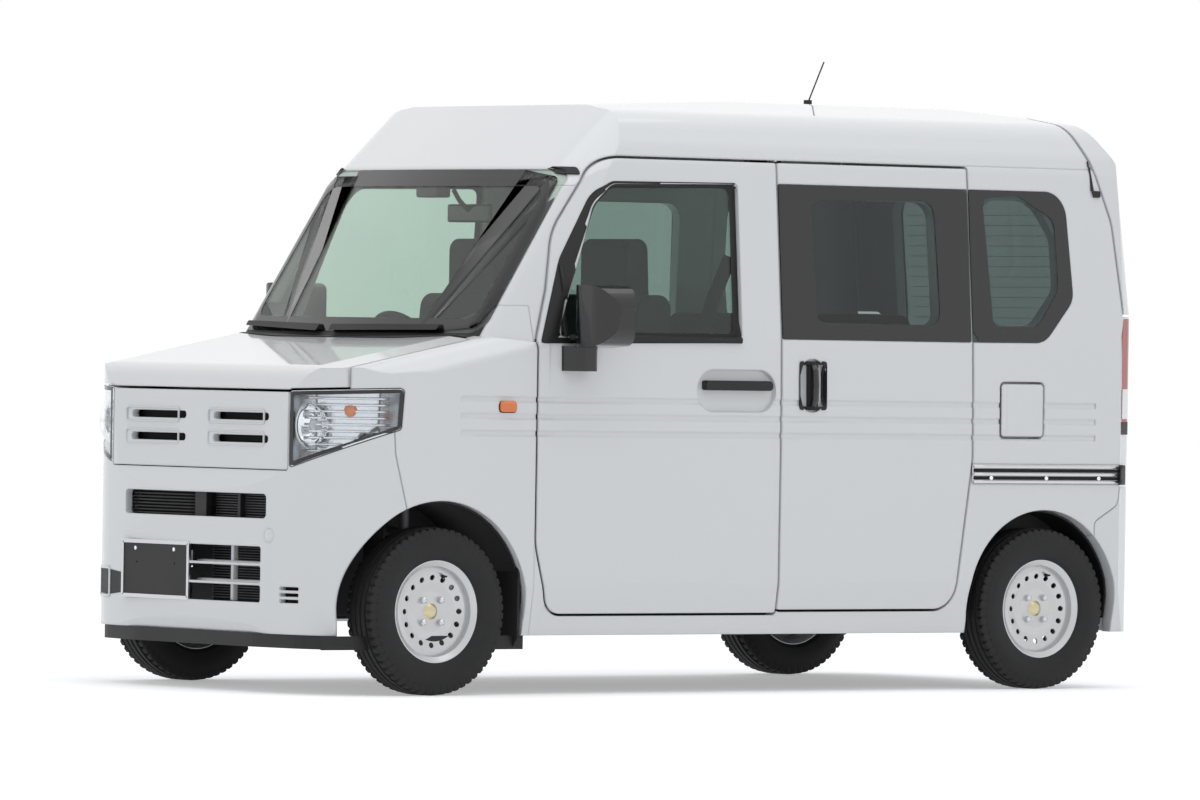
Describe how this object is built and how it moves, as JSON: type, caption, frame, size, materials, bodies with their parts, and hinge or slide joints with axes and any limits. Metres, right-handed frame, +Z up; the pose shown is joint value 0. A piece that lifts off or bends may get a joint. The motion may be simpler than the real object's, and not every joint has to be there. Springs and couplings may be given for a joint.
{
  "type": "kei van",
  "caption": "Small high-roof van with hinged front doors, sliding side doors, tailgate, hood, fuel lid, steered front wheels and a hollow cabin with load space.",
  "frame": {"origin": "on the ground under the middle of the bounding box", "axes": "+X forward, +Y to the van's left, +Z up"},
  "size_m": [3.395, 1.8986, 2.0918],
  "materials": {
    "white_paint": "gloss",
    "chassis_paint": "satin",
    "black_plastic": "grained",
    "black_gloss": "gloss",
    "white_plastic": "gloss",
    "clear_lens": "clear",
    "lamp_silver": "polished",
    "red_lens": "gloss",
    "clear_glass": "clear",
    "dark_glass": "tinted",
    "rail_steel": "brushed",
    "wheel_steel": "satin",
    "rubber_tyre": "matt",
    "cast": "rough",
    "steel": "plain",
    "seat_cloth": "woven"
  },
  "bodies": {
    "body": {"side_panel_left": "white_paint", "side_panel_right": "white_paint", "roof": "white_paint", "windscreen": "clear_glass", "cowl": "black_plastic", "front_frame": "chassis_paint", "floor_pan": "chassis_paint", "middle_pillars": "chassis_paint", "front_bumper": "white_plastic", "grille": "white_plastic", "wings": "white_paint", "headlamps": "lamp_silver", "headlamp_lenses": "clear_lens", "front_plate": "black_plastic", "rear_bumper": "white_plastic", "tail_lamps": "red_lens", "side_glass": "dark_glass", "slide_rails": "rail_steel", "wheel_liners": "black_plastic", "sliding_door_left": "white_paint", "sliding_door_right": "white_paint", "sliding_handles": "black_plastic", "dashboard": "black_plastic", "steering_wheel": "black_plastic", "front_seats": "seat_cloth", "rear_seat": "seat_cloth", "wipers": "black_plastic", "aerial": "black_plastic", "engine": "cast", "fuel_tank": "black_plastic", "exhaust": "steel", "rear_axle": "cast", "lower_arms": "chassis_paint"},
    "front_door_left": {"front_door_left": "white_paint", "door_glass_left": "clear_glass", "mirror_left": "black_gloss", "handle_left": "black_gloss"},
    "front_door_right": {"front_door_right": "white_paint", "door_glass_right": "clear_glass", "mirror_right": "black_gloss", "handle_right": "black_gloss"},
    "hood": {"hood": "white_paint"},
    "tailgate": {"tailgate": "white_paint", "tailgate_glass": "dark_glass"},
    "fuel_lid": {"fuel_lid": "white_paint"},
    "steer_left": {"knuckle_left": "cast"},
    "steer_right": {"knuckle_right": "cast"},
    "wheel_front_left": {"tyre_front_left": "rubber_tyre", "rim_front_left": "wheel_steel"},
    "wheel_front_right": {"tyre_front_right": "rubber_tyre", "rim_front_right": "wheel_steel"},
    "wheel_rear_left": {"tyre_rear_left": "rubber_tyre", "rim_rear_left": "wheel_steel"},
    "wheel_rear_right": {"tyre_rear_right": "rubber_tyre", "rim_rear_right": "wheel_steel"}
  },
  "joints": [
    {"name": "front_door_left_hinge", "type": "hinge", "parent": "body", "child": "front_door_left", "pos_m": [0.814, 0.7215, 0.69], "axis": [0, 0, -1], "range_deg": [0, 70]},
    {"name": "front_door_right_hinge", "type": "hinge", "parent": "body", "child": "front_door_right", "pos_m": [0.814, -0.7215, 0.69], "axis": [0, 0, 1], "range_deg": [0, 70]},
    {"name": "hood_hinge", "type": "hinge", "parent": "body", "child": "hood", "pos_m": [1.226, 0, 1.099], "axis": [0, -1, 0], "range_deg": [0, 50]},
    {"name": "tailgate_hinge", "type": "hinge", "parent": "body", "child": "tailgate", "pos_m": [-1.402, 0, 1.898], "axis": [0, 1, 0], "range_deg": [0, 85]},
    {"name": "fuel_lid_hinge", "type": "hinge", "parent": "body", "child": "fuel_lid", "pos_m": [-1.09, 0.7285, 0.93], "axis": [0, 0, -1], "range_deg": [0, 85]},
    {"name": "steer_left_pivot", "type": "hinge", "parent": "body", "child": "steer_left", "pos_m": [1.2425, 0.535, 0.3], "axis": [0, 0, 1], "range_deg": [-33, 33]},
    {"name": "steer_right_pivot", "type": "hinge", "parent": "body", "child": "steer_right", "pos_m": [1.2425, -0.535, 0.3], "axis": [0, 0, 1], "range_deg": [-33, 33]},
    {"name": "wheel_front_left_spin", "type": "hinge", "parent": "steer_left", "child": "wheel_front_left", "pos_m": [1.2425, 0.655, 0.268], "axis": [0, 1, 0], "continuous": true},
    {"name": "wheel_front_right_spin", "type": "hinge", "parent": "steer_right", "child": "wheel_front_right", "pos_m": [1.2425, -0.655, 0.268], "axis": [0, 1, 0], "continuous": true},
    {"name": "wheel_rear_left_spin", "type": "hinge", "parent": "body", "child": "wheel_rear_left", "pos_m": [-1.2775, 0.655, 0.268], "axis": [0, 1, 0], "continuous": true},
    {"name": "wheel_rear_right_spin", "type": "hinge", "parent": "body", "child": "wheel_rear_right", "pos_m": [-1.2775, -0.655, 0.268], "axis": [0, 1, 0], "continuous": true}
  ],
  "couplings": [
    {"joint": "steer_right_pivot", "follows": "steer_left_pivot", "ratio": 1}
  ]
}
